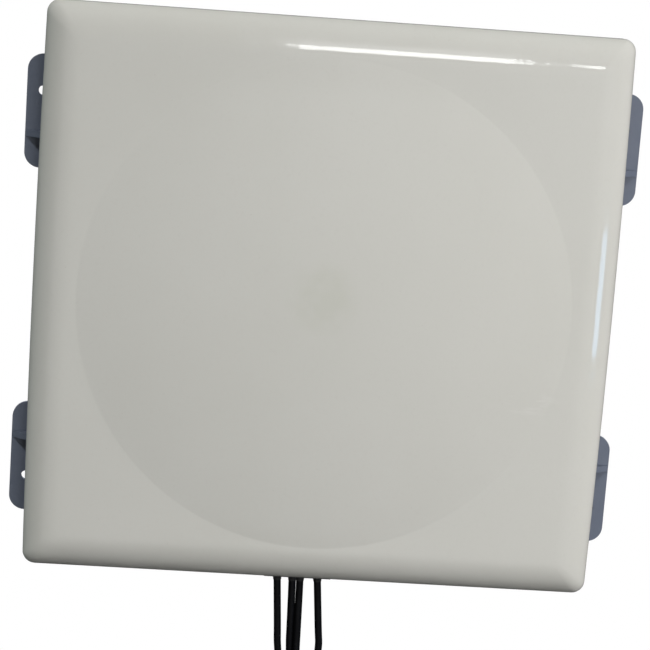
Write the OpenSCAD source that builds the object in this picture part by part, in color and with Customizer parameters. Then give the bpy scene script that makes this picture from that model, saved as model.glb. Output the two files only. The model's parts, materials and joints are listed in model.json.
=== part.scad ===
// Flat panel antenna with four coaxial leads.
// Millimetres. X is to the right, Z is up and the radome faces -Y.
// The origin is the centre of the four wall bolts on the back plane, y = 0.
// The modules work from the radome's centre, and placed() moves them to that origin.

/* [Radome] */
// Width of the radome at its top and bottom edges
panel_w = 370; // [360:1:380]
// Height of the radome
panel_h = 364; // [356:1:372]
// Depth from the wall to the flat front
panel_d = 36; // [34:0.5:40]
// How far each long side bows outward at mid height
side_bow = 1.5; // [0:0.1:2]
// Corner radius seen from the front
corner_r = 8; // [6:0.5:12]
// Depth of the rounded front edges
edge_r = 16; // [14:0.5:18]
// Width of the rounded front edges seen from the front
edge_w = 24; // [18:0.5:24.5]
// Wall thickness of the radome
radome_t = 3; // [2:0.25:3]
// Distance from the wall to the radome's rim
rim_y = 12.5; // [12:0.25:13]
// Height of the radome's centre above the wall bolts' centre
panel_up = 2.3; // [0:0.1:3]
// Radius of the shallow dome on the front
dome_r = 157.7; // [140:0.1:160]
// Height of the shallow dome
dome_h = 9; // [5:0.5:12]

/* [Rear tray] */
// Thickness of the tray floor
floor_t = 2.5; // [2:0.25:3]
// Height of the tray's outer wall
wall_h = 11.5; // [11:0.25:11.5]
// Depth that the spigot reaches inside the radome
spigot_y = 17; // [16:0.5:18]
// Height of the floor's stiffening ribs, measured from the wall
rib_y = 8; // [6:0.5:9]

/* [Mounting ears] */
// Horizontal distance between the wall bolts
bolt_dx = 374; // [374:0.5:376]
// Vertical distance between the wall bolts
bolt_dz = 252; // [240:1:260]
// Diameter of each wall bolt hole
bolt_d = 6; // [5:0.1:7]
// Distance between the ears' outer edges
ear_span = 394.5; // [393:0.5:396]
// Height of one ear
ear_len = 72.5; // [70:0.5:80]
// Distance from the ear's outer end to its bolt hole
ear_end = 23.2; // [20:0.1:28]
// Thickness of an ear
ear_t = 3; // [2.5:0.25:4]
// Corner radius of an ear
ear_r = 10; // [8:0.5:10]
// Thickness of an ear's gusset
gusset_t = 4; // [3:0.1:4.5]
// Place of the gusset along the ear, as a share of its length from the outer end
gusset_at = 0.7; // [0.6:0.005:0.75]

/* [Antenna elements] */
// Distance of each element from the centre lines
element_at = 78; // [74:1:82]
// Side of the driven patches
driven_w = 52; // [48:1:56]
// Side of the parasitic patches
parasitic_w = 44; // [40:1:48]
// Distance from the wall to the reflector's back
reflector_y = 13; // [12.5:0.5:13]
// Gap between the reflector, the driven patch and the parasitic patch
patch_gap = 6; // [5:0.25:6]

/* [Leads] */
// Diameter of the coaxial leads
lead_d = 4.95; // [4.5:0.05:4.95]
// Mean radius of the stowed coil
coil_r = 49; // [49]
// Number of turns in the stowed coil, which end at its right side
coil_turns = 2.25; // [2.25]
// Distance between neighbouring turns
coil_pitch = 13.2; // [13:0.1:14]

/* [Plugs] */
// Outer diameter of the coupling nuts
nut_d = 14.5; // [14:0.1:15]
// Length of the coupling nuts
nut_l = 13; // [12:0.5:13]
// Number of knurl grooves round a coupling nut
knurls = 20; // [16:1:24]

/* [Hidden] */
$fn = 48;
eps = 0.01;
half_w = panel_w / 2;
half_h = panel_h / 2;

// Radome and tray: insets are measured inward from the radome's outline
wall_in = 0.8;                       // tray wall's outer face
gasket_in = radome_t + 0.2;          // gasket's inner edge
spigot_in = radome_t + 0.4;          // spigot's outer face
spigot_end = radome_t + 2.9;         // spigot's inner face
arc_steps = 5;
bow_steps = 6;
fillet_steps = 6;
dome_steps = 8;
boss_r = 4.5;                        // radome screw bosses
pad_r = 7.5;                         // tray pads under those bosses
pad_y = 9;                           // front face of the pads
radome_screw_at = concat(
    [for (sx = [-1, 1]) for (sz = [-1, 1]) [168 * sx, 165 * sz]],
    [for (sx = [-1, 1]) for (sz = [-1, 1]) [70 * sx, 165 * sz]],
    [for (sx = [-1, 1]) [170 * sx, 0]]);
reflector_w = 320;
reflector_h = 314;
reflector_t = 1.5;
reflector_front = reflector_y + reflector_t;
reflector_screw_at = concat(
    [for (sx = [-1, 1]) for (sz = [-1, 1]) [140 * sx, 135 * sz]],
    [for (sx = [-1, 1]) for (sz = [-1, 1]) [55 * sx, 142 * sz]],
    [for (sx = [-1, 1]) [140 * sx, 0]]);
label_size = [90, 50, 0.3];
nut_relief_r = 4.8;                  // room for an M5 nut beside the tray wall

// Elements, counted the way their leads leave the housing
elements = [[-1, -1], [-1, 1], [1, 1], [1, -1]];
board_w = 30;
board_h = 24;
board_t = 1.6;
board_drop = 30;                     // board centre below the patch centre
pin_drop = 21;                       // feed pin below the patch centre
patch_t = 1;
driven_y = reflector_front + patch_gap;
parasitic_y = driven_y + patch_t + patch_gap;

// Grommet in the middle of the bottom wall
window_x = [-25, 16];
window_y = [4.5, 13.5];
grommet_flange = 3;
snout_l = 3;
exit_z = -half_h - grommet_flange;
clamp_x = [-31, 22];                 // clamp screws
clamp_z = -166;
clamp_y = 11;                        // the clamp bar's back
clamp_t = 3;

// Routes inside the housing, from the grommet to the feed boards
inner_routes = [
    [[-17.7, -8.5, -185], [-19.45, -8.5, -160], [-20, -12, -144], [-26, -17, -125],
        [-38, -17, -112], [-50, -17, -108], [-62.8, -17, -108]],
    [[-7.6, -8.5, -185], [-8.35, -8.5, -160], [-8, -12, -144], [-8, -17, -122],
        [-8, -17, 12], [-14, -17, 34], [-34, -17, 47], [-62.8, -17, 48]],
    [[-2.5, -8.5, -185], [-3, -8.5, -160], [1, -12, -144], [6, -17, -122],
        [8, -17, 12], [14, -17, 34], [34, -17, 47], [62.8, -17, 48]],
    [[9, -8.5, -185], [6.8, -8.5, -160], [11.5, -12, -144], [22, -17, -125],
        [36, -17, -112], [50, -17, -108], [62.8, -17, -108]]];

// Bundle of four leads: strands sit on a circle of strand_r round its middle
strand_r = 3.65;
bundle_y = -10;
coil_at = [23, -356];                // coil centre, X and Z
coil_half = strand_r + lead_d / 2 + 0.2;
coil_y_end = bundle_y - coil_turns * coil_pitch;
// Routes of the leads from the grommet to the top of the coil
lead_routes = [
    [[-17.7, -8.5, -185], [-16.5, -8.5, -202], [-15.3, -8.5, -219], [-14, -8.5, -238],
        [-12, -8.8, -253], [-8, -9.7, -268], [-5.65, -10, -282],
        [-1.8, -10, -296.3], [8.7, -10, -306.8], [23, -10, -310.65]],
    [[-7.6, -8.5, -185], [-7.25, -8.5, -197], [-6.8, -7.9, -214], [-6.2, -7.3, -237],
        [-5, -6.7, -252], [-3, -6.4, -267], [-2, -6.35, -282],
        [1.3, -6.35, -294.5], [10.5, -6.35, -303.7], [23, -6.35, -307]],
    [[-2.5, -8.5, -185], [-2.25, -8.5, -197], [-2, -9.2, -214], [-1.7, -9.6, -237],
        [-1.6, -11.6, -252], [-1.9, -13.4, -267], [-2, -13.65, -282],
        [1.3, -13.65, -294.5], [10.5, -13.65, -303.7], [23, -13.65, -307]],
    [[9, -8.5, -185], [10.5, -8.5, -202], [12, -8.5, -219], [13.8, -8.6, -240],
        [12.6, -9.1, -253], [6.2, -9.8, -268], [1.65, -10, -282],
        [4.5, -10, -292.7], [12.3, -10, -300.5], [23, -10, -303.35]]];
// Tails below the coil: distance of each lead from the tail's middle, and drop
tail_route = [[2.6, 0], [3.4, -16], [6.9, -40], [8.3, -58], [8.3, -74]];
tail_sides = [[-1, -1], [-1, 1], [1, -1], [1, 1]];
tail_at = [coil_at[0] + coil_r, coil_y_end, coil_at[1]];

// Coil tie
tie_angle = 45;
tie_arc = 19;                        // degrees of the coil under the strap
tie_t = 1.6;
tie_gap = 0.3;

// Plug, measured from the cable end of its boot
plug_spread = 8.3;
plug_z = coil_at[1] - 60;
boot_l = 14;
ferrule_at = 4;
body_at = 14.5;
nut_at = 18;
lip_l = 2;
lip_r = 5;
collar_r = 4.94;
shoulder_r = 5.6;
shoulder_at = 20.1;
shoulder_l = 2.2;
sleeve_r = 4.15;
sleeve_bore = 3.2;
sleeve_end = 29.5;
insulator_at = 16.5;
contact_r = 0.65;
thread_r = 5.3;
thread_at = 24;
cavity_r = 5.9;

// Raises the children from the radome's centre to their place above the wall bolts' centre
module placed() translate([0, 0, panel_up]) children();

// Places the children's XY plane at the given distance in front of the wall
module at_depth(y) translate([0, -y, 0]) rotate([90, 0, 0]) children();

function bowed(p) = [p[0] + sign(p[0]) * side_bow * (1 - pow(p[1] / half_h, 2)), p[1]];

// Outline of the housing seen from the front, moved inward by inset
function corner_arc(q, hx, hz, r) = let (sx = q == 0 || q == 3 ? 1 : -1, sz = q < 2 ? 1 : -1)
    [for (k = [0:arc_steps]) let (a = 90 * (q + k / arc_steps))
        bowed([sx * (hx - r) + r * cos(a), sz * (hz - r) + r * sin(a)])];
function side_points(sx, hx, hz, r) = [for (k = [1:bow_steps - 1])
    bowed([sx * hx, sx * (hz - r) * (2 * k / bow_steps - 1)])];
function outline(inset) = let (hx = half_w - inset, hz = half_h - inset,
        r = max(corner_r - 0.25 * inset, 2))
    [for (q = [0:3]) each concat(corner_arc(q, hx, hz, r),
        q == 1 ? side_points(-1, hx, hz, r) : q == 3 ? side_points(1, hx, hz, r) : [])];

module frame_2d(outer, inner) difference() {
    polygon(outline(outer));
    polygon(outline(inner));
}

// Closed shell shape: straight skirt, then a quarter of an ellipse to the front
module shell_solid(inset, rim, front) hull() {
    deep = edge_r - inset;
    at_depth(rim) linear_extrude(eps) polygon(outline(inset));
    for (k = [0:fillet_steps]) let (a = 90 * k / fillet_steps)
        at_depth(front - deep + deep * sin(a) - eps) linear_extrude(eps)
            polygon(outline(inset + (edge_w - inset) * (1 - cos(a))));
}

module dome_solid(r, base) at_depth(base - 0.5) rotate_extrude($fn = 96)
    polygon(concat([[0, 0], [r, 0]],
        [for (k = [0:dome_steps]) let (u = 1 - k / dome_steps)
            [r * u, 0.5 + dome_h * (1 - u * u)]]));

module window(y0, y1) translate([window_x[0], -y1, -half_h - 1])
    cube([window_x[1] - window_x[0], y1 - y0, 12]);

module radome() color("#e6e6df") {
    difference() {
        union() {
            shell_solid(0, rim_y, panel_d);
            dome_solid(dome_r, panel_d);
        }
        shell_solid(radome_t, rim_y - 1, panel_d - radome_t);
        dome_solid(dome_r - radome_t, panel_d - radome_t);
        window(rim_y - 1, window_y[1]);
    }
    for (p = radome_screw_at) at_depth(pad_y) translate([p[0], p[1], 0])
        difference() {
            cylinder(r = boss_r, h = panel_d - radome_t - pad_y);
            translate([0, 0, -1]) cylinder(r = 2.05, h = 16);
        }
}

module rim_gasket() color("#2c2c2e") difference() {
    at_depth(wall_h) linear_extrude(rim_y - wall_h) frame_2d(wall_in, gasket_in);
    window(wall_h - 1, rim_y + 1);
}

// One ear in the upper right, seen from the bolts' centre; the tray mirrors it to the other corners
module ear() {
    x0 = half_w - 8;
    x1 = ear_span / 2;
    z1 = bolt_dz / 2 + ear_end;
    at_depth(0) linear_extrude(ear_t) {
        translate([x0, z1 - ear_len]) square([x1 - ear_r - x0, ear_len]);
        translate([x0, z1 - ear_len + ear_r]) square([x1 - x0, ear_len - 2 * ear_r]);
        for (z = [z1 - ear_r, z1 - ear_len + ear_r]) translate([x1 - ear_r, z]) circle(ear_r);
    }
    translate([0, 0, z1 - gusset_at * ear_len - gusset_t / 2]) linear_extrude(gusset_t)
        polygon([[half_w - 2, -1], [x1 - 0.3, -1], [x1 - 0.3, -ear_t], [half_w + 1, -wall_h],
            [half_w - 2, -wall_h]]);
}

module rear_tray() color("#4b535c") difference() {
    union() {
        at_depth(0) linear_extrude(floor_t) polygon(outline(wall_in));
        at_depth(0) linear_extrude(wall_h) frame_2d(wall_in, spigot_end);
        at_depth(1) linear_extrude(spigot_y - 1) frame_2d(spigot_in, spigot_end);
        translate([0, 0, -panel_up]) for (sx = [0, 1]) for (sz = [0, 1])
            mirror([sx, 0, 0]) mirror([0, 0, sz]) ear();
        for (p = radome_screw_at) at_depth(0) translate([p[0], p[1], 0])
            cylinder(r = pad_r, h = pad_y);
        for (p = reflector_screw_at) at_depth(1) translate([p[0], p[1], 0])
            cylinder(r = 5, h = reflector_y - 1);
        for (x = clamp_x) at_depth(1) translate([x, clamp_z, 0]) cylinder(r = 4, h = clamp_y - 1);
        for (s = [-100, 100]) {
            at_depth(1) translate([s - 1, -172, 0]) cube([2, 344, rib_y - 1]);
            at_depth(1) translate([-172, s - 1, 0]) cube([344, 2, rib_y - 1]);
        }
    }
    for (p = radome_screw_at) at_depth(-1) translate([p[0], p[1], 0]) {
        cylinder(r = 4.5, h = 4);
        cylinder(r = 2.25, h = pad_y + 2);
    }
    for (p = reflector_screw_at) at_depth(floor_t + 2) translate([p[0], p[1], 0])
        cylinder(r = 1.55, h = reflector_y);
    for (x = clamp_x) at_depth(floor_t + 2) translate([x, clamp_z, 0])
        cylinder(r = 1.55, h = clamp_y);
    for (sx = [-1, 1]) for (sz = [-1, 1])
        translate([sx * bolt_dx / 2, 0, sz * bolt_dz / 2 - panel_up]) {
            at_depth(-1) cylinder(d = bolt_d, h = ear_t + 2);
            at_depth(ear_t) cylinder(r = nut_relief_r, h = wall_h);
        }
    window(window_y[0], spigot_y + 1);
    translate([-label_size[0] / 2, -label_size[2], -label_size[1] / 2])
        cube([label_size[0], 1, label_size[1]]);
}

// Pan-head screw pointing away from the wall, its head's back at depth y
module screw_in(p, y, head_r, head_h, shank_r, shank_h) at_depth(y)
    translate([p[0], p[1], 0]) difference() {
        union() {
            cylinder(r = head_r, h = head_h);
            cylinder(r = shank_r, h = head_h + shank_h);
        }
        translate([0, 0, -1]) cylinder(r = head_r * 0.45, h = 1 + head_h * 0.6, $fn = 6);
    }

// Pan-head screw pointing at the wall, its head resting at depth y
module screw_out(p, y, head_r, head_h, shank_r, shank_h)
    translate([0, -2 * y, 0]) mirror([0, 1, 0])
        screw_in(p, y - head_h, head_r, head_h, shank_r, shank_h);

module radome_screws() color("#b9bcbe") for (p = radome_screw_at)
    screw_in(p, 0.4, 4, 2.6, 2, 17);

module rating_label() color("#d9d9d2")
    translate([-label_size[0] / 2, -label_size[2], -label_size[1] / 2]) cube([label_size[0],
        label_size[2] - 0.05, label_size[1]]);

module reflector_plate() color("#c9ccce") difference() {
    at_depth(reflector_y) linear_extrude(reflector_t)
        translate([-reflector_w / 2, -reflector_h / 2]) square([reflector_w, reflector_h]);
    for (p = reflector_screw_at) at_depth(reflector_y - 1) translate([p[0], p[1], 0])
        cylinder(r = 1.6, h = reflector_t + 2);
    for (e = elements) at_depth(reflector_y - 1)
        translate([e[0] * element_at, e[1] * element_at, 0]) cylinder(r = 1.55, h = reflector_t + 2);
    translate([-30, -reflector_front - 1, -reflector_h / 2 - 1]) cube([58, reflector_t + 2, 46]);
}

module reflector_screws() color("#b9bcbe") for (p = reflector_screw_at)
    screw_out(p, reflector_front, 2.8, 2, 1.5, 9);

module feed_board(i) color("#2f6b46") at_depth(reflector_front)
    translate([elements[i][0] * element_at - board_w / 2,
        elements[i][1] * element_at - board_drop - board_h / 2, 0]) cube([board_w, board_h, board_t]);

module feed_pins() color("#c98f4a") for (e = elements) at_depth(reflector_front + board_t)
    translate([e[0] * element_at, e[1] * element_at - pin_drop, 0])
        cylinder(r = 0.6, h = patch_gap - board_t);

module patch_plate(i, w, y) at_depth(y)
    translate([elements[i][0] * element_at, elements[i][1] * element_at, 0]) difference() {
        linear_extrude(patch_t) intersection() {
            square(w, center = true);
            rotate(45) square([w * 1.3, w * 1.6], center = true);
        }
        translate([0, 0, -1]) cylinder(r = 1.6, h = patch_t + 2);
    }

module driven_patch(i) color("#d8b26a") patch_plate(i, driven_w, driven_y);
module parasitic_patch(i) color("#cfd2d4") patch_plate(i, parasitic_w, parasitic_y);

module patch_posts() color("#efefea") for (e = elements)
    for (y = [reflector_front, driven_y + patch_t]) at_depth(y)
        translate([e[0] * element_at, e[1] * element_at, 0]) difference() {
            cylinder(r = 4, h = patch_gap);
            translate([0, 0, -1]) cylinder(r = 1.6, h = patch_gap + 2);
        }

module patch_screws() color("#efefea") for (e = elements)
    screw_out([e[0] * element_at, e[1] * element_at], parasitic_y + patch_t, 2.8, 2, 1.5,
        parasitic_y + patch_t - reflector_y);

// One moulded rubber piece: a grooved block and a tapered snout round each lead
module cable_grommet() color("#1b1b1c") difference() {
    union() {
        translate([window_x[0] + 0.1, -window_y[1] + 0.1, -half_h - 0.5])
            cube([window_x[1] - window_x[0] - 0.2, window_y[1] - window_y[0] - 0.2, 8]);
        translate([window_x[0] - 1.5, -window_y[1] + 0.5, exit_z])
            cube([window_x[1] - window_x[0] + 3, window_y[1] - window_y[0] + 0.5, grommet_flange - 0.1]);
        for (i = [0:3]) lead_axis(i) translate([0, 0, -1]) cylinder(r1 = 3.1, r2 = 2.65, h = snout_l + 1);
    }
    for (i = [0:3]) lead_axis(i) translate([0, 0, -14]) cylinder(d = lead_d + 0.02, h = snout_l + 18);
}

// How far a lead leans to +X on its first straight stretch
function lean(i) = let (d = lead_routes[i][1] - lead_routes[i][0]) atan2(d[0], -d[2]);

// Puts +Z along the lead's way out, from the grommet's outer face
module lead_axis(i) translate(lead_routes[i][0]) rotate([0, 180 - lean(i), 0]) children();

module cable_clamp() color("#e4e4dc") difference() {
    at_depth(clamp_y) translate([clamp_x[0] - 5, clamp_z - 5, 0])
        cube([clamp_x[1] - clamp_x[0] + 10, 10, clamp_t]);
    for (x = clamp_x) at_depth(clamp_y - 1) translate([x, clamp_z, 0]) cylinder(r = 1.6, h = clamp_t + 2);
}

module clamp_screws() color("#b9bcbe") for (x = clamp_x)
    screw_out([x, clamp_z], clamp_y + clamp_t, 2.8, 2, 1.5, 9);

// Tube swept along a route of points, none of whose stretches runs along Y
function unit(v) = v / norm(v);
function route_dir(p, i) = unit(p[i + 1] - p[i - 1]);
function ring(c, t, r, n) = let (u = unit(cross(t, [0, 1, 0])), v = cross(u, t))
    [for (k = [0:n - 1]) c + r * (cos(360 * k / n) * u + sin(360 * k / n) * v)];
function ring_dir(p, ends, i) = i == 0 ? ends[0] : i == len(p) - 1 ? ends[1] : route_dir(p, i);

// ends gives the directions in which the tube's first and last rings face
module tube(p, r, ends, n = 8) {
    last = len(p) - 1;
    polyhedron(
        [for (i = [0:last]) each ring(p[i], ring_dir(p, ends, i), r, n)],
        concat([[for (k = [n - 1:-1:0]) k]],
            [for (i = [0:last - 1]) for (k = [0:n - 1])
                [i * n + k, i * n + (k + 1) % n, (i + 1) * n + (k + 1) % n, (i + 1) * n + k]],
            [[for (k = [0:n - 1]) last * n + k]]));
}

module inner_lead(i) color("#17181a") tube(inner_routes[i], lead_d / 2,
    [[0, 0, 1], [sign(elements[i][0]), 0, 0]]);

module lead(i) color("#17181a") tube(lead_routes[i], lead_d / 2,
    [[0, 0, -1], [1, 0, 0]]);

// Ring that encloses every turn of the four wound leads
module lead_coil() color("#17181a") translate([coil_at[0], 0, coil_at[1]]) rotate([-90, 0, 0])
    rotate_extrude($fn = 72) {
        translate([coil_r - coil_half, coil_y_end]) square([2 * coil_half, bundle_y - coil_y_end]);
        for (y = [bundle_y, coil_y_end]) translate([coil_r, y]) circle(coil_half);
    }

module tie_2d(grow) {
    half = coil_half + tie_gap + grow;
    translate([coil_r - half, coil_y_end]) square([2 * half, bundle_y - coil_y_end]);
    for (y = [bundle_y, coil_y_end]) translate([coil_r, y]) circle(half);
}

// Hook-and-loop strap closed round the coil
module coil_tie() color("#26272a") translate([coil_at[0], 0, coil_at[1]]) rotate([-90, 0, 0])
    rotate([0, 0, -tie_angle - tie_arc / 2]) rotate_extrude(angle = tie_arc, $fn = 72) difference() {
        tie_2d(tie_t);
        tie_2d(0);
    }

function tail(i) = [for (s = tail_route) tail_at
    + [tail_sides[i][0] * s[0], tail_sides[i][1] * s[0], s[1]]];

module lead_tail(i) color("#17181a") tube(tail(i), lead_d / 2, [[0, 0, -1], [0, 0, -1]]);

// Puts the plug's own axis, cable end first, on tail i
module at_plug(i) translate([tail_at[0] + tail_sides[i][0] * plug_spread,
    tail_at[1] + tail_sides[i][1] * plug_spread, plug_z]) mirror([0, 0, 1]) children();

module ring_solid(r_out, r_in, z0, z1) translate([0, 0, z0]) difference() {
    cylinder(r = r_out, h = z1 - z0);
    translate([0, 0, -1]) cylinder(r = r_in, h = z1 - z0 + 2);
}

module plug_boot(i) color("#1d1d1f") at_plug(i) difference() {
    union() {
        cylinder(r1 = 3, r2 = 3.9, h = ferrule_at);
        translate([0, 0, ferrule_at]) cylinder(r = 3.9, h = boot_l - ferrule_at);
    }
    translate([0, 0, -1]) cylinder(d = lead_d + 0.02, h = boot_l);
    translate([0, 0, ferrule_at]) cylinder(r = 3.25, h = boot_l);
}

module plug_ferrule(i) color("#c4b27a") at_plug(i) ring_solid(3.25, lead_d / 2 + 0.01, ferrule_at, body_at);

module plug_body(i) color("#cfd0d0") at_plug(i) difference() {
    union() {
        translate([0, 0, body_at]) cylinder(r = 4.6, h = 3);
        translate([0, 0, body_at + 2]) cylinder(r = collar_r, h = shoulder_at - body_at - 2);
        translate([0, 0, shoulder_at]) cylinder(r = shoulder_r, h = shoulder_l);
        translate([0, 0, shoulder_at]) cylinder(r = sleeve_r, h = sleeve_end - shoulder_at);
    }
    translate([0, 0, insulator_at]) cylinder(r = sleeve_bore, h = sleeve_end);
    translate([0, 0, body_at - 1]) cylinder(r = 1.6, h = 10);
}

module plug_insulators() color("#f2f2ee") for (i = [0:3]) at_plug(i)
    ring_solid(sleeve_bore, contact_r, insulator_at, sleeve_end - 1.5);

module plug_contacts() color("#d6b15a") for (i = [0:3]) at_plug(i) {
    translate([0, 0, body_at]) cylinder(r = contact_r, h = sleeve_end - 1 - body_at);
    translate([0, 0, sleeve_end - 1]) cylinder(r1 = contact_r, r2 = 0.3, h = 0.8);
}

module plug_gaskets() color("#a8442f") for (i = [0:3]) at_plug(i)
    ring_solid(thread_r - 0.15, sleeve_r, shoulder_at + shoulder_l, shoulder_at + shoulder_l + 1.2);

module coupling_nut(i) color("#cfd0d0") at_plug(i) difference() {
    translate([0, 0, nut_at]) cylinder(d = nut_d, h = nut_l);
    translate([0, 0, nut_at - 1]) cylinder(r = lip_r, h = nut_l + 2);
    translate([0, 0, nut_at + lip_l]) cylinder(r = cavity_r, h = thread_at - nut_at - lip_l);
    translate([0, 0, thread_at - 1]) cylinder(r = thread_r, h = nut_l);
    for (k = [0:knurls - 1]) rotate(360 * k / knurls) translate([nut_d / 2 + 0.25, 0, nut_at + 1.5])
        cylinder(r = 0.6, h = nut_l - 5, $fn = 4);
}

placed() radome();
placed() rim_gasket();
placed() rear_tray();
placed() radome_screws();
placed() rating_label();
placed() reflector_plate();
placed() reflector_screws();
placed() feed_pins();
placed() patch_posts();
placed() patch_screws();
placed() cable_grommet();
placed() cable_clamp();
placed() clamp_screws();
placed() lead_coil();
placed() coil_tie();
placed() plug_insulators();
placed() plug_contacts();
placed() plug_gaskets();
for (i = [0:3]) {
    placed() feed_board(i);
    placed() driven_patch(i);
    placed() parasitic_patch(i);
    placed() inner_lead(i);
    placed() lead(i);
    placed() lead_tail(i);
    placed() plug_boot(i);
    placed() plug_ferrule(i);
    placed() plug_body(i);
    placed() coupling_nut(i);
}
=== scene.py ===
import json
import math

import bmesh
import bpy
from mathutils import Matrix, Vector


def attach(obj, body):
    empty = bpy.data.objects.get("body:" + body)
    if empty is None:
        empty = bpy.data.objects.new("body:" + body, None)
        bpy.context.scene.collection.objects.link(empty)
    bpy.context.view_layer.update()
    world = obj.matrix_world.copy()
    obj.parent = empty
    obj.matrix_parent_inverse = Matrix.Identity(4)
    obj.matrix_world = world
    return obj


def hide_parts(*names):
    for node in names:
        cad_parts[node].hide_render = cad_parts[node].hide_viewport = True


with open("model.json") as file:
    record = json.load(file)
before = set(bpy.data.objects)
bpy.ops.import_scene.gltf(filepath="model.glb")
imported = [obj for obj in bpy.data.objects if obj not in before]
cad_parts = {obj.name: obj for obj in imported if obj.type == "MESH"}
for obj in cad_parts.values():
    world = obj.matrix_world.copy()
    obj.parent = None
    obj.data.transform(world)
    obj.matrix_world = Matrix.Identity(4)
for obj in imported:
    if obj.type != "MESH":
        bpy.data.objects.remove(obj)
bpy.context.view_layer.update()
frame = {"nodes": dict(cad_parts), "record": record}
NODES = frame["nodes"]
scene = bpy.context.scene
MM = 0.001
UP = 2.3                    # the radome's centre above the wall bolts' centre


def placed(p):
    """Metres in the frame from millimetres round the radome's centre."""
    return Vector((p[0], p[1], p[2] + UP)) * MM


# ---------------------------------------------------------------- camera

def add_camera():
    """A long lens above the middle, looking 10 degrees down, rolled a little."""
    data = bpy.data.cameras.new("camera")
    data.lens = 110.05
    data.sensor_width = 36
    data.clip_start = 0.05
    data.clip_end = 50
    cam = bpy.data.objects.new("camera", data)
    scene.collection.objects.link(cam)
    rx, ry, rz = (math.radians(a) for a in (10.11, -3.16, 4.12))
    turn = Matrix.Rotation(rz, 3, "Z") @ Matrix.Rotation(rx, 3, "X") @ Matrix.Rotation(ry, 3, "Y")
    look = turn @ Matrix(((1, 0, 0), (0, 0, -1), (0, 1, 0)))
    columns = Matrix((look[0], -look[1], -look[2])).transposed()
    cam.matrix_world = Matrix.Translation((-0.067913, -1.276829, 0.213776)) @ columns.to_4x4()
    scene.camera = cam


add_camera()


# ---------------------------------------------------------------- leads

LEAD_D = 4.95
# Each lead's way from the grommet to the coil, round the radome's centre
HEADS = [
    [(-17.7, -8.5, -185), (-16.5, -8.5, -202), (-15.3, -8.5, -219), (-14, -8.5, -238),
     (-12, -8.8, -253), (-8, -9.7, -268), (-5.65, -10, -282), (-1.8, -10, -296.3),
     (8.7, -10, -306.8), (23, -10, -310.65)],
    [(-7.6, -8.5, -185), (-7.25, -8.5, -197), (-6.8, -7.9, -214), (-6.2, -7.3, -237),
     (-5, -6.7, -252), (-3, -6.4, -267), (-2, -6.35, -282), (1.3, -6.35, -294.5),
     (10.5, -6.35, -303.7), (23, -6.35, -307)],
    [(-2.5, -8.5, -185), (-2.25, -8.5, -197), (-2, -9.2, -214), (-1.7, -9.6, -237),
     (-1.6, -11.6, -252), (-1.9, -13.4, -267), (-2, -13.65, -282), (1.3, -13.65, -294.5),
     (10.5, -13.65, -303.7), (23, -13.65, -307)],
    [(9, -8.5, -185), (10.5, -8.5, -202), (12, -8.5, -219), (13.8, -8.6, -240),
     (12.6, -9.1, -253), (6.2, -9.8, -268), (1.65, -10, -282), (4.5, -10, -292.7),
     (12.3, -10, -300.5), (23, -10, -303.35)]]
COIL_AT = (23, -356)        # the coil's middle, across and up
COIL_R = 49
COIL_TURNS = 2.25
COIL_PITCH = 13.2
BUNDLE_Y = -10              # where the first turn starts
STRAND_R = 3.65             # from the bundle's middle to each lead
STRAND_START = (180, 90, 270, 0)
STRAND_TURN = 2205          # degrees that the leads twist about each other along the coil
COIL_END_Y = BUNDLE_Y - COIL_TURNS * COIL_PITCH
PLUG_SPREAD = 8.3           # from the middle of the four plugs to each, along X and Y
PLUG_Z = -416               # the plugs' upper ends
TAIL_ROUTE = [(3.4, -16), (6.9, -40), (PLUG_SPREAD, -58), (PLUG_SPREAD, -74)]
TAIL_SIDES = [(-1, -1), (-1, 1), (1, -1), (1, 1)]
COIL_STEPS = 66


def eased(u, e=0.1):
    """Starts and ends slowly, so that a lead enters and leaves the twist along the coil."""
    k = 1 / (1 - e)
    if u < e:
        return k * u * u / (2 * e)
    if u > 1 - e:
        return 1 - k * (1 - u) ** 2 / (2 * e)
    return k * (u - e / 2)


def coil_point(i, u):
    """Lead i at share u of the coil."""
    a = 2 * math.pi * COIL_TURNS * u
    phase = math.radians(STRAND_START[i] + STRAND_TURN * eased(u))
    r = COIL_R + STRAND_R * math.cos(phase)
    y = BUNDLE_Y - COIL_TURNS * COIL_PITCH * u + STRAND_R * math.sin(phase)
    return Vector((COIL_AT[0] + r * math.sin(a), y, COIL_AT[1] + r * math.cos(a)))


def catmull(points, per):
    """Points along a smooth line through the given ones."""
    p = [2 * points[0] - points[1]] + points + [2 * points[-1] - points[-2]]
    out = []
    for i in range(1, len(p) - 2):
        for k in range(per):
            t = k / per
            out.append(0.5 * (2 * p[i] + (p[i + 1] - p[i - 1]) * t
                              + (2 * p[i - 1] - 5 * p[i] + 4 * p[i + 1] - p[i + 2]) * t * t
                              + (3 * p[i] - p[i - 1] - 3 * p[i + 1] + p[i + 2]) * t ** 3))
    return out + [points[-1]]


def evenly(points, step):
    """The same line with its points about step apart."""
    run = [0.0]
    for a, b in zip(points, points[1:]):
        run.append(run[-1] + (b - a).length)
    n = max(2, round(run[-1] / step))
    out, j = [], 0
    for k in range(n):
        s = run[-1] * k / n
        while run[j + 1] < s:
            j += 1
        out.append(points[j].lerp(points[j + 1], (s - run[j]) / (run[j + 1] - run[j])))
    return out + [points[-1]]


def relaxed(points, passes, first):
    """Evens out the bends of a stiff lead. The points before first stay where they are."""
    p = list(points)
    for _ in range(passes):
        p = [p[k] if k < first or k >= len(p) - 2 else (p[k - 1] + 2 * p[k] + p[k + 1]) / 4
             for k in range(len(p))]
    return p


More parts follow.
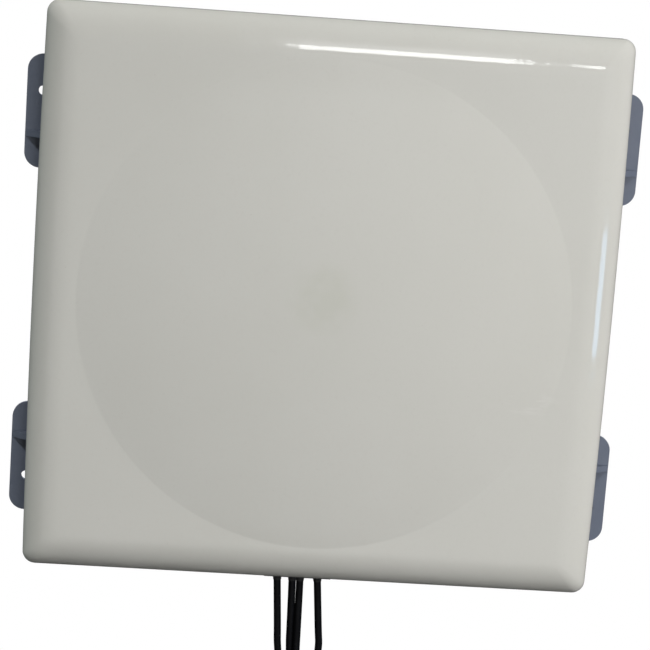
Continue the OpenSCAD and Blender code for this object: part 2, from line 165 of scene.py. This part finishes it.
def lead_line(i):
    """Lead i from the grommet, through the coil, to its plug."""
    head = catmull([Vector(p) for p in HEADS[i]], 12)
    coil = [coil_point(i, k / COIL_STEPS) for k in range(1, COIL_STEPS + 1)]
    sx, sy = TAIL_SIDES[i]
    tail = [Vector((COIL_AT[0] + COIL_R + sx * off, COIL_END_Y + sy * off, COIL_AT[1] + drop))
            for off, drop in TAIL_ROUTE]
    tail = catmull([coil[-1]] + tail, 6)[1:]
    # a point every 5 mm up to the coil's third point; the first ten stay where they are
    front = relaxed(evenly(head + coil[:3], 5), passes=12, first=10)
    return [placed(p) for p in front + coil[3:] + tail[2:]]


def add_curve(name, points, radius):
    """A round cord with flat ends through the points."""
    data = bpy.data.curves.new(name, "CURVE")
    data.dimensions = "3D"
    data.bevel_depth = radius
    data.bevel_resolution = 5
    data.resolution_u = 4
    data.use_fill_caps = True
    spline = data.splines.new("BEZIER")
    spline.bezier_points.add(len(points) - 1)
    for bp, p in zip(spline.bezier_points, points):
        bp.co = p
        bp.handle_left_type = bp.handle_right_type = "AUTO"
    obj = bpy.data.objects.new(name, data)
    scene.collection.objects.link(obj)
    return obj


LEADS = [add_curve(f"coax_{i + 1}", lead_line(i), LEAD_D / 2 * MM) for i in range(4)]


# ---------------------------------------------------------------- mesh helpers

def add_mesh(name, verts, faces, sharp=35):
    """A mesh object from points in millimetres, smooth but for edges sharper than the angle."""
    mesh = bpy.data.meshes.new(name)
    mesh.from_pydata([placed(v) for v in verts], [], faces)
    mesh.validate()
    bm = bmesh.new()
    bm.from_mesh(mesh)
    bmesh.ops.recalc_face_normals(bm, faces=bm.faces)
    bm.to_mesh(mesh)
    bm.free()
    for p in mesh.polygons:
        p.use_smooth = True
    if sharp:
        mesh.set_sharp_from_angle(angle=math.radians(sharp))
    obj = bpy.data.objects.new(name, mesh)
    scene.collection.objects.link(obj)
    return obj


def ring_faces(n, rings, first=0, closed=False):
    """Quads between rings of n points each; closed also joins the last ring to the first."""
    faces = []
    for j in range(rings if closed else rings - 1):
        a, b = first + j * n, first + (j + 1) % rings * n
        faces += [(a + k, a + (k + 1) % n, b + (k + 1) % n, b + k) for k in range(n)]
    return faces


def lathe(profile, n, place, shape=None):
    """Verts and faces of a closed (radius, height) profile turned round Z, moved by place."""
    verts = []
    for r, h in profile:
        for k in range(n):
            a = 2 * math.pi * k / n
            rr = shape(r, h, k) if shape else r
            verts.append(place(Vector((rr * math.cos(a), rr * math.sin(a), h))))
    return verts, ring_faces(n, len(profile), closed=True)


def join(parts):
    """One pair of verts and faces from many."""
    verts, faces = [], []
    for v, f in parts:
        faces += [tuple(k + len(verts) for k in face) for face in f]
        verts += v
    return verts, faces


def soften(obj, width):
    """Rounds the edges of a CAD node by a fraction of a millimetre."""
    mod = obj.modifiers.new("edges", "BEVEL")
    mod.width = width * MM
    mod.segments = 2
    mod.limit_method = "ANGLE"
    mod.angle_limit = math.radians(40)
    mod.harden_normals = True


# ---------------------------------------------------------------- radome

HALF_W, HALF_H = 185, 182
FRONT, RIM = 36, 12.5
CORNER_R, EDGE_WIDE, EDGE_DEEP, WALL, BOW = 8, 24, 16, 3, 1.5
DOME_R, DOME_H = 157.7, 9
CORNER_STEPS, SIDE_STEPS, FILLET_STEPS = 10, 44, 20
BOSSES = ([(168 * sx, 165 * sz) for sx in (-1, 1) for sz in (-1, 1)]
          + [(70 * sx, 165 * sz) for sx in (-1, 1) for sz in (-1, 1)] + [(-170, 0), (170, 0)])


def outline(inset):
    """The housing's outline, moved inward: rounded corners, and long sides that bow outward."""
    hx, hz = HALF_W - inset, HALF_H - inset
    r = max(CORNER_R - 0.25 * inset, 2)
    corners = []
    for q, (sx, sz) in enumerate(((1, 1), (-1, 1), (-1, -1), (1, -1))):
        arc = [math.radians(90 * (q + k / CORNER_STEPS)) for k in range(CORNER_STEPS + 1)]
        corners.append([(sx * (hx - r) + r * math.cos(a), sz * (hz - r) + r * math.sin(a))
                        for a in arc])
    points = []
    for q in range(4):
        points += corners[q]
        a, b = corners[q][-1], corners[(q + 1) % 4][0]
        points += [(a[0] + (b[0] - a[0]) * k / SIDE_STEPS, a[1] + (b[1] - a[1]) * k / SIDE_STEPS)
                   for k in range(1, SIDE_STEPS)]
    return [(x + x / HALF_W * BOW * (1 - (z / HALF_H) ** 2), z) for x, z in points]


def shell_rings(inset):
    """Rings from the rim, up the skirt, over the rounded edge, to the top of the dome."""
    front, dome_r = FRONT - inset, DOME_R - inset
    wide, deep = EDGE_WIDE - inset, EDGE_DEEP - inset
    rings = [[(x, -d, z) for x, z in outline(inset)] for d in (RIM + 0.5, 14, 16, 18)]
    for k in range(FILLET_STEPS + 1):
        a = math.pi / 2 * k / FILLET_STEPS
        line = outline(inset + wide * (1 - math.cos(a)))
        rings.append([(x, -(front - deep + deep * math.sin(a)), z) for x, z in line])
    edge = rings[-1]
    angles = [math.atan2(z, x) for x, y, z in edge]
    crease = dome_r + 0.25
    for t in (0.15, 0.4, 0.7, 0.9, 1):
        rings.append([(x + (crease * math.cos(a) - x) * t, -front,
                       z + (crease * math.sin(a) - z) * t) for (x, y, z), a in zip(edge, angles)])
    radii = [dome_r + 0.1, dome_r - 0.5, dome_r - 1.2] + [dome_r * u for u in
             (0.98, 0.95, 0.9, 0.84, 0.77, 0.69, 0.6, 0.5, 0.4, 0.3, 0.2, 0.12, 0.06, 0.03)]
    for r in radii:
        y = -(front + DOME_H * max(1 - (r / dome_r) ** 2, 0.0004))
        rings.append([(r * math.cos(a), y, r * math.sin(a)) for a in angles])
    return rings, -(front + DOME_H)


def add_radome():
    """The moulded shell, with a window for the grommet, and its screw bosses."""
    outer, top = shell_rings(0)
    inner, under = shell_rings(WALL)
    lip = [[(x, -d, z) for x, z in outline(i)] for d, i in
           ((RIM + 0.15, 0.12), (RIM, 0.45), (RIM, WALL - 0.4), (RIM + 0.1, WALL - 0.1))]
    rings = outer[::-1] + lip + inner
    n = len(rings[0])
    verts = [p for ring in rings for p in ring] + [(0, top, 0), (0, under, 0)]
    faces = ring_faces(n, len(rings))
    last = (len(rings) - 1) * n
    faces += [(k, (k + 1) % n, len(verts) - 2) for k in range(n)]
    faces += [(last + k, last + (k + 1) % n, len(verts) - 1) for k in range(n)]
    shell = add_mesh("radome_shell", verts, faces, sharp=0)

    cutter = bmesh.new()
    bmesh.ops.create_cube(cutter, size=1, matrix=Matrix.Translation(placed((-4.5, -10, -177)))
                          @ Matrix.Diagonal((41 * MM, 7 * MM, 12 * MM, 1)))
    box = bpy.data.meshes.new("window")
    cutter.to_mesh(box)
    cutter.free()
    tool = bpy.data.objects.new("window", box)
    scene.collection.objects.link(tool)
    mod = shell.modifiers.new("window", "BOOLEAN")
    mod.operation = "DIFFERENCE"
    mod.solver = "EXACT"
    mod.object = tool
    bpy.context.view_layer.update()
    cut = bpy.data.meshes.new_from_object(shell.evaluated_get(bpy.context.evaluated_depsgraph_get()))
    shell.modifiers.clear()
    shell.data = cut
    bpy.data.objects.remove(tool)
    cut.set_sharp_from_angle(angle=math.radians(50))

    bosses = []
    for x, z in BOSSES:
        profile = [(2.05, 9.3), (2.3, 9), (4.2, 9), (4.5, 9.3), (4.9, 30.5), (6.2, 32.2),
                   (6.2, 32.6), (2.05, 32.6)]
        bosses.append(lathe(profile, 32, lambda v, x=x, z=z: (x + v.x, -v.z, z + v.y)))
    posts = add_mesh("radome_bosses", *join(bosses))
    return shell, posts


RADOME, POSTS = add_radome()


# ---------------------------------------------------------------- plugs and nuts

def plug_place(i):
    """Moves a point from round the plug's own axis, with Z down, to plug i."""
    sx, sy = TAIL_SIDES[i]
    x, y = COIL_AT[0] + COIL_R + sx * PLUG_SPREAD, COIL_END_Y + sy * PLUG_SPREAD
    return lambda v: (x + v.x, y + v.y, PLUG_Z - v.z)


def nut_shape(r, h, k):
    """Straight knurling on the widest part of the nut."""
    if r > 7.1 and 19.2 < h < 26.2:
        return r - (0.34, 0.12, 0, 0.12)[k % 4]
    return r


def add_nut(i):
    """Coupling nut: knurled outside, threaded inside, with a groove for its retaining ring."""
    profile = [(5.0, 18.25), (5.25, 18), (6.7, 18), (7.1, 18.4), (7.1, 19.1), (7.25, 19.3),
               (7.25, 20.5), (7.25, 22), (7.25, 23.5), (7.25, 25), (7.25, 26.1), (6.95, 26.3),
               (6.6, 26.6), (6.6, 30.5), (6.2, 31), (5.75, 31), (5.3, 30.5)]
    h = 30.2
    while h > 24.3:
        profile += [(5.3, h), (5.62, h - 0.3), (5.62, h - 0.4), (5.3, h - 0.7)]
        h -= 0.91
    profile += [(5.3, 24), (5.9, 24), (5.9, 20), (5.0, 20)]
    verts, faces = lathe(profile, 144, plug_place(i), nut_shape)
    return add_mesh(f"nut_knurled_{i + 1}", verts, faces, sharp=28)


def add_boot(i):
    """Shrunk sleeve: it grips the lead, then swells over the ferrule in soft steps."""
    profile = [(2.52, 0), (2.8, -0.02), (2.98, 0.25), (3.05, 1.2), (3.12, 2.2), (3.4, 3.3),
               (3.75, 4.2), (3.86, 5.5), (3.83, 8), (3.88, 10.5), (3.85, 12.8), (3.8, 13.7),
               (3.6, 14), (3.3, 13.95), (3.26, 13), (3.26, 4.2), (2.52, 3.6)]
    return add_mesh(f"boot_{i + 1}", *lathe(profile, 48, plug_place(i)), sharp=60)


NUTS = [add_nut(i) for i in range(4)]
BOOTS = [add_boot(i) for i in range(4)]


# ---------------------------------------------------------------- coil tie

def add_tie():
    """A hook-and-loop strap pulled tight over the three turns, its end lapped on the front."""
    half, y0, y1, wide, thick = 6.5, -12.2, -37.5, 16, 1.2
    straight = y0 - y1
    loop = 2 * straight + 2 * math.pi * half

    def at(s):
        """Point and outward direction at distance s round the loop, in (across, y)."""
        s = s % loop
        if s < straight:
            return (half, y0 - s), (1, 0)
        s -= straight
        if s < math.pi * half:
            a = s / half
            return (half * math.cos(a), y1 - half * math.sin(a)), (math.cos(a), -math.sin(a))
        s -= math.pi * half
        if s < straight:
            return (-half, y1 + s), (-1, 0)
        a = (s - straight) / half
        return (-half * math.cos(a), y0 + half * math.sin(a)), (-math.cos(a), math.sin(a))

    tilt = math.radians(45)
    out = Vector((math.sin(tilt), 0, math.cos(tilt)))
    along = Vector((math.cos(tilt), 0, -math.sin(tilt)))
    middle = Vector((COIL_AT[0], 0, COIL_AT[1])) + out * COIL_R
    start, lap, steps = 6, 17, 110
    edge, third, chamfer = wide / 2, wide / 6, 0.35
    section = [(-edge, chamfer), (-edge + chamfer, 0), (-third, 0), (third, 0), (edge - chamfer, 0),
               (edge, chamfer), (edge, thick - chamfer), (edge - chamfer, thick), (third, thick),
               (-third, thick), (-edge + chamfer, thick), (-edge, thick - chamfer)]
    verts = []
    for j in range(steps + 1):
        s = start + (loop + lap) * j / steps
        over = min(max((s - start - loop + 7) / 7, 0), 1)
        rise = (thick + 0.05) * over * over * (3 - 2 * over)
        (across, y), (nx, ny) = at(s)
        end = min(j, steps - j) / 3
        narrow = 1 if end >= 1 else 0.82 + 0.18 * math.sqrt(1 - (1 - end) ** 2)
        for w, t in section:
            q = across + nx * (t + rise)
            verts.append(middle + out * q + along * (w * narrow) + Vector((0, y + ny * (t + rise), 0)))
    n = len(section)
    faces = ring_faces(n, steps + 1)
    faces += [tuple(range(n)), tuple(steps * n + k for k in range(n))]
    return add_mesh("tie_strap", verts, faces, sharp=60)


TIE = add_tie()


# ---------------------------------------------------------------- materials

class Look:
    """A Principled material with helpers that add procedural detail in object space."""

    def __init__(self, name, color, rough, metal=0.0, **sockets):
        self.mat = bpy.data.materials.new(name)
        self.mat.use_nodes = True
        self.nodes = self.mat.node_tree.nodes
        self.links = self.mat.node_tree.links
        self.shader = self.nodes["Principled BSDF"]
        self.color = color
        self.shader.inputs["Base Color"].default_value = (*color, 1)
        self.shader.inputs["Roughness"].default_value = rough
        self.shader.inputs["Metallic"].default_value = metal
        for key, value in sockets.items():
            self.shader.inputs[key.replace("_", " ")].default_value = value
        self.coords = self.nodes.new("ShaderNodeTexCoord").outputs["Object"]
        self.height = None

    def add(self, kind, **values):
        node = self.nodes.new(kind)
        for key, value in values.items():
            setattr(node, key, value)
        return node

    def stretched(self, scale):
        mapping = self.add("ShaderNodeMapping")
        mapping.inputs["Scale"].default_value = scale
        self.links.new(self.coords, mapping.inputs["Vector"])
        return mapping.outputs["Vector"]

    def noise(self, scale, detail=3.0, rough=0.5, stretch=None):
        node = self.add("ShaderNodeTexNoise")
        node.inputs["Scale"].default_value = scale
        node.inputs["Detail"].default_value = detail
        node.inputs["Roughness"].default_value = rough
        self.links.new(self.stretched(stretch) if stretch else self.coords, node.inputs["Vector"])
        return node.outputs[0]

    def cells(self, scale):
        node = self.add("ShaderNodeTexVoronoi")
        node.inputs["Scale"].default_value = scale
        self.links.new(self.coords, node.inputs["Vector"])
        return node.outputs["Distance"]

    def wave(self, scale, direction, distortion=0.0):
        node = self.add("ShaderNodeTexWave", bands_direction=direction)
        node.inputs["Scale"].default_value = scale
        node.inputs["Distortion"].default_value = distortion
        self.links.new(self.coords, node.inputs["Vector"])
        return node.outputs["Fac"]

    def spread(self, value, low, high, out_low, out_high):
        """Maps low..high to out_low..out_high, and holds the ends beyond them."""
        node = self.add("ShaderNodeMapRange")
        ends = {"From Min": low, "From Max": high, "To Min": out_low, "To Max": out_high}
        for key, v in ends.items():
            node.inputs[key].default_value = v
        self.links.new(value, node.inputs["Value"])
        return node.outputs["Result"]

    def patch(self, middle, stretch, inner, outer):
        """1 within inner of a point, 0 beyond outer, in metres, along axes divided by stretch."""
        node = self.add("ShaderNodeVectorMath", operation="DISTANCE")
        self.links.new(self.stretched(stretch), node.inputs[0])
        node.inputs[1].default_value = [m * s for m, s in zip(middle, stretch)]
        return self.spread(node.outputs["Value"], inner, outer, 1, 0)

    def times(self, a, b):
        node = self.add("ShaderNodeMath", operation="MULTIPLY")
        self.links.new(a, node.inputs[0])
        self.links.new(b, node.inputs[1])
        return node.outputs[0]

    def tint(self, factor, other):
        """Mixes the base colour towards another where factor is high."""
        node = self.add("ShaderNodeMix", data_type="RGBA")
        base = self.shader.inputs["Base Color"]
        if base.is_linked:
            self.links.new(base.links[0].from_socket, node.inputs[6])
        else:
            node.inputs[6].default_value = (*self.color, 1)
        node.inputs[7].default_value = (*other, 1)
        self.links.new(factor, node.inputs[0])
        self.links.new(node.outputs[2], base)

    def roughness(self, value):
        self.links.new(value, self.shader.inputs["Roughness"])

    def bump(self, height, strength, distance):
        """Adds a bump on top of those already there. distance is in millimetres."""
        node = self.add("ShaderNodeBump")
        node.inputs["Strength"].default_value = strength
        node.inputs["Distance"].default_value = distance * MM
        self.links.new(height, node.inputs["Height"])
        if self.height is not None:
            self.links.new(self.height, node.inputs["Normal"])
        self.height = node.outputs["Normal"]
        self.links.new(self.height, self.shader.inputs["Normal"])


def shell_look():
    look = Look("radome_shell", (0.70, 0.705, 0.655), 0.08)
    look.tint(look.spread(look.noise(9, 3), 0.35, 0.7, 0, 0.5), (0.665, 0.67, 0.615))
    look.tint(look.spread(look.noise(420, 2), 0.55, 0.8, 0, 0.35), (0.66, 0.66, 0.61))
    look.tint(look.spread(look.cells(95), 0.0, 0.045, 0.6, 0), (0.55, 0.55, 0.5))
    blush = look.patch((-0.002, -0.045, 0.0103), (1, 0, 1), 0.012, 0.026)
    cloud = look.spread(look.noise(70, 3), 0.3, 0.6, 0.3, 1)
    look.tint(look.times(blush, cloud), (0.655, 0.665, 0.6))
    scuff = look.patch((0.135, -0.036, -0.05), (0.7, 0, 1.4), 0.002, 0.014)
    scratches = look.spread(look.noise(160, 2, 0.5, (0.4, 1, 1.6)), 0.52, 0.66, 0, 0.8)
    look.tint(look.times(scuff, scratches), (0.76, 0.765, 0.72))
    look.roughness(look.spread(look.noise(28, 4), 0.3, 0.75, 0.05, 0.09))
    look.bump(look.noise(45, 2), 0.8, 0.25)
    look.bump(look.noise(85, 2), 0.8, 0.08)
    return look


def paint_look():
    look = Look("tray_paint", (0.133, 0.157, 0.208), 0.5)
    look.tint(look.spread(look.noise(60, 3), 0.4, 0.75, 0, 0.5), (0.158, 0.18, 0.23))
    look.roughness(look.spread(look.noise(300, 3), 0.3, 0.7, 0.4, 0.6))
    look.bump(look.noise(900, 3), 0.45, 0.12)
    return look


def rubber_look():
    look = Look("black_rubber", (0.012, 0.012, 0.012), 0.65)
    look.tint(look.spread(look.noise(250, 3), 0.5, 0.8, 0, 0.6), (0.022, 0.022, 0.023))
    look.bump(look.noise(1200, 3), 0.3, 0.05)
    return look


def jacket_look():
    look = Look("coax_jacket", (0.0032, 0.0034, 0.0042), 0.5, Specular_IOR_Level=0.15)
    look.tint(look.spread(look.noise(160, 3), 0.5, 0.8, 0, 0.5), (0.007, 0.007, 0.008))
    look.roughness(look.spread(look.noise(90, 4), 0.3, 0.7, 0.42, 0.6))
    look.bump(look.noise(700, 2), 0.2, 0.05)
    return look


def sleeve_look():
    look = Look("shrink_sleeve", (0.010, 0.010, 0.011), 0.5)
    look.tint(look.spread(look.noise(400, 2), 0.5, 0.8, 0, 0.6), (0.02, 0.02, 0.02))
    look.bump(look.noise(260, 3), 0.35, 0.12)
    return look


def strap_look():
    look = Look("tie_strap", (0.014, 0.014, 0.016), 0.9, Sheen_Weight=0.35)
    fuzz = look.cells(1400)
    look.tint(look.spread(fuzz, 0.2, 0.7, 0, 0.8), (0.035, 0.035, 0.038))
    look.bump(fuzz, 0.7, 0.25)
    look.bump(look.wave(90, "DIAGONAL", 2), 0.4, 0.15)
    return look


def brushed(name, color, rough, scale, stretch):
    look = Look(name, color, rough, 1.0)
    grain = look.noise(scale, 4, 0.6, stretch)
    look.tint(look.spread(grain, 0.35, 0.75, 0, 0.5), tuple(c * 0.82 for c in color))
    look.roughness(look.spread(grain, 0.3, 0.7, rough - 0.06, rough + 0.12))
    look.bump(grain, 0.12, 0.04)
    return look


def moulded(name, color, rough, shade):
    look = Look(name, color, rough)
    look.tint(look.spread(look.noise(120, 3), 0.4, 0.75, 0, 0.6), shade)
    look.roughness(look.spread(look.noise(240, 3), 0.3, 0.7, rough - 0.08, rough + 0.08))
    look.bump(look.noise(900, 2), 0.2, 0.04)
    return look


def board_look():
    look = Look("circuit_board", (0.012, 0.11, 0.045), 0.32)
    look.tint(look.spread(look.wave(260, "X"), 0.45, 0.6, 0, 0.45), (0.02, 0.17, 0.075))
    look.tint(look.spread(look.noise(300, 3), 0.5, 0.7, 0, 0.4), (0.01, 0.08, 0.03))
    look.bump(look.wave(260, "Z"), 0.12, 0.03)
    return look


LOOKS = {
    "radome_shell": shell_look(),
    "tray_paint": paint_look(),
    "black_rubber": rubber_look(),
    "stainless_steel": brushed("stainless_steel", (0.55, 0.55, 0.54), 0.3, 900, (1, 1, 0.2)),
    "blank_label": moulded("blank_label", (0.62, 0.62, 0.6), 0.4, (0.55, 0.55, 0.53)),
    "aluminium_sheet": brushed("aluminium_sheet", (0.72, 0.73, 0.74), 0.36, 300, (0.05, 1, 1)),
    "circuit_board": board_look(),
    "brass_sheet": brushed("brass_sheet", (0.66, 0.47, 0.19), 0.32, 300, (1, 1, 0.05)),
    "copper_pin": brushed("copper_pin", (0.72, 0.4, 0.26), 0.28, 1200, (1, 1, 1)),
    "white_nylon": moulded("white_nylon", (0.78, 0.77, 0.7), 0.45, (0.7, 0.69, 0.62)),
    "coax_jacket": jacket_look(),
    "tie_strap": strap_look(),
    "shrink_sleeve": sleeve_look(),
    "plated_ferrule": brushed("plated_ferrule", (0.6, 0.56, 0.44), 0.26, 700, (1, 1, 0.4)),
    "nickel_plate": brushed("nickel_plate", (0.66, 0.64, 0.6), 0.2, 800, (1, 1, 0.3)),
    "white_ptfe": moulded("white_ptfe", (0.82, 0.82, 0.8), 0.4, (0.76, 0.76, 0.74)),
    "gold_contact": brushed("gold_contact", (0.85, 0.62, 0.26), 0.2, 1200, (1, 1, 1)),
    "red_silicone": moulded("red_silicone", (0.35, 0.05, 0.03), 0.5, (0.28, 0.04, 0.025)),
}


def dress(obj, slot):
    obj.data.materials.clear()
    obj.data.materials.append(LOOKS[slot].mat)


# ---------------------------------------------------------------- pieces on their bodies

for part in frame["record"]["subparts"]:
    node = NODES[part["node"]]
    dress(node, part["material_slot"])
    for poly in node.data.polygons:
        poly.use_smooth = True
    node.data.set_sharp_from_angle(angle=math.radians(30))

soften(NODES["rear_tray"], 0.5)
soften(NODES["cable_grommet"], 0.3)
soften(NODES["cable_clamp"], 0.4)

for i, lead in enumerate(LEADS):
    dress(lead, "coax_jacket")
    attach(lead, "antenna")
    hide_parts(f"lead_{i + 1}", f"lead_tail_{i + 1}")
    dress(BOOTS[i], "shrink_sleeve")
    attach(BOOTS[i], "antenna")
    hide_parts(f"plug_boot_{i + 1}")
    dress(NUTS[i], "nickel_plate")
    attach(NUTS[i], f"nut_{i + 1}")
    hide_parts(f"coupling_nut_{i + 1}")
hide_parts("lead_coil")
dress(TIE, "tie_strap")
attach(TIE, "antenna")
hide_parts("coil_tie")
dress(RADOME, "radome_shell")
dress(POSTS, "radome_shell")
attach(RADOME, "antenna")
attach(POSTS, "antenna")
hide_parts("radome")


# ---------------------------------------------------------------- studio

SWEEP_R = 8
SWEEP_FLOOR = -2.5          # low enough for views from below


def toward(azimuth, elevation):
    """Unit vector from the part, azimuth counted to the right from straight in front."""
    a, e = math.radians(azimuth), math.radians(elevation)
    return Vector((math.sin(a) * math.cos(e), -math.cos(a) * math.cos(e), math.sin(e)))


def add_sun(name, direction, strength, spread, color=(1, 1, 1)):
    """A distant light that shades but has no mirror image."""
    data = bpy.data.lights.new(name, "SUN")
    data.energy = strength
    data.angle = math.radians(spread)
    data.color = color
    obj = bpy.data.objects.new(name, data)
    obj.rotation_euler = direction.to_track_quat("Z", "Y").to_euler()
    obj.visible_glossy = False
    scene.collection.objects.link(obj)


def add_panel(name, at, target, size, radiance, color=(1, 1, 1), shades=False, mirrored=True):
    """A rectangle of the given radiance that faces the target: it shades, or is mirrored, or both."""
    data = bpy.data.lights.new(name, "AREA")
    data.shape = "RECTANGLE"
    data.size, data.size_y = size
    data.energy = radiance * math.pi * size[0] * size[1]
    data.color = color
    obj = bpy.data.objects.new(name, data)
    obj.location = at
    obj.rotation_euler = (Vector(at) - Vector(target)).to_track_quat("Z", "Y").to_euler()
    obj.visible_diffuse = shades
    obj.visible_glossy = mirrored
    obj.visible_camera = False
    scene.collection.objects.link(obj)


def add_world():
    world = bpy.data.worlds.new("studio")
    scene.world = world
    world.use_nodes = True
    background = world.node_tree.nodes["Background"]
    background.inputs["Color"].default_value = (0.97, 0.99, 1, 1)
    background.inputs["Strength"].default_value = 0.02


def add_lights():
    """Suns and two boxes shade the object; the other panels are only mirrored in its gloss."""
    add_sun("top", toward(0, 52), 1.26, 3, (1, 0.99, 0.98))
    add_sun("left_rim", toward(-108, 0), 1, 40, (0.93, 1, 1))
    add_sun("right_rim", toward(110, -8), 1.1, 40, (1, 0.97, 0.98))
    add_sun("ceiling", toward(180, 65), 1, 30)
    add_sun("back", toward(180, 30), 1.5, 30)
    add_panel("soft_box", (0.5, -1.4, 0.2), (0, 0, 0), (0.9, 0.9), 3, shades=True, mirrored=False)
    add_panel("side_box", (1, -0.95, 0.2), (0, 0, 0), (0.9, 0.9), 2.35, (1, 0.95, 0.97),
              shades=True, mirrored=False)
    add_panel("front_wall", toward(0, -10) * 5, (0, 0, 0), (9, 3.6), 0.5)
    edge = Vector((0.044, -0.035, 0.167))       # on the radome's top edge
    add_panel("strip", edge + toward(5.1, 16.2) * 6, edge, (0.84, 0.95), 12)
    add_panel("strip_tail", edge + toward(5.1, 25.5) * 6, edge, (0.84, 1.1), 2)
    add_panel("strip_end", edge + toward(12.6, 15) * 6, edge, (0.3, 0.6), 10)
    side = Vector((0.1745, -0.034, 0.024))      # on its right edge
    add_panel("window", side + toward(54, -8.6) * 4, side, (1, 0.34), 6, (0.42, 0.7, 1))


def add_backdrop():
    """A white dome with a flat floor that gives no light of its own."""
    white = bpy.data.materials.new("studio_white")
    white.use_nodes = True
    nodes = white.node_tree.nodes
    nodes.remove(nodes["Principled BSDF"])
    glow = nodes.new("ShaderNodeEmission")
    glow.inputs["Color"].default_value = (1, 1, 1, 1)
    white.node_tree.links.new(glow.outputs[0], nodes["Material Output"].inputs["Surface"])
    bm = bmesh.new()
    bmesh.ops.create_uvsphere(bm, u_segments=48, v_segments=24, radius=SWEEP_R)
    for v in bm.verts:
        v.co.z = max(v.co.z, SWEEP_FLOOR)
    mesh = bpy.data.meshes.new("studio_sweep")
    bm.to_mesh(mesh)
    bm.free()
    sweep = bpy.data.objects.new("studio_sweep", mesh)
    mesh.materials.append(white)
    sweep.visible_diffuse = False
    sweep.visible_glossy = False
    sweep.visible_shadow = False
    scene.collection.objects.link(sweep)


add_world()
add_lights()
add_backdrop()
scene.view_settings.view_transform = "Standard"
scene.view_settings.look = "None"
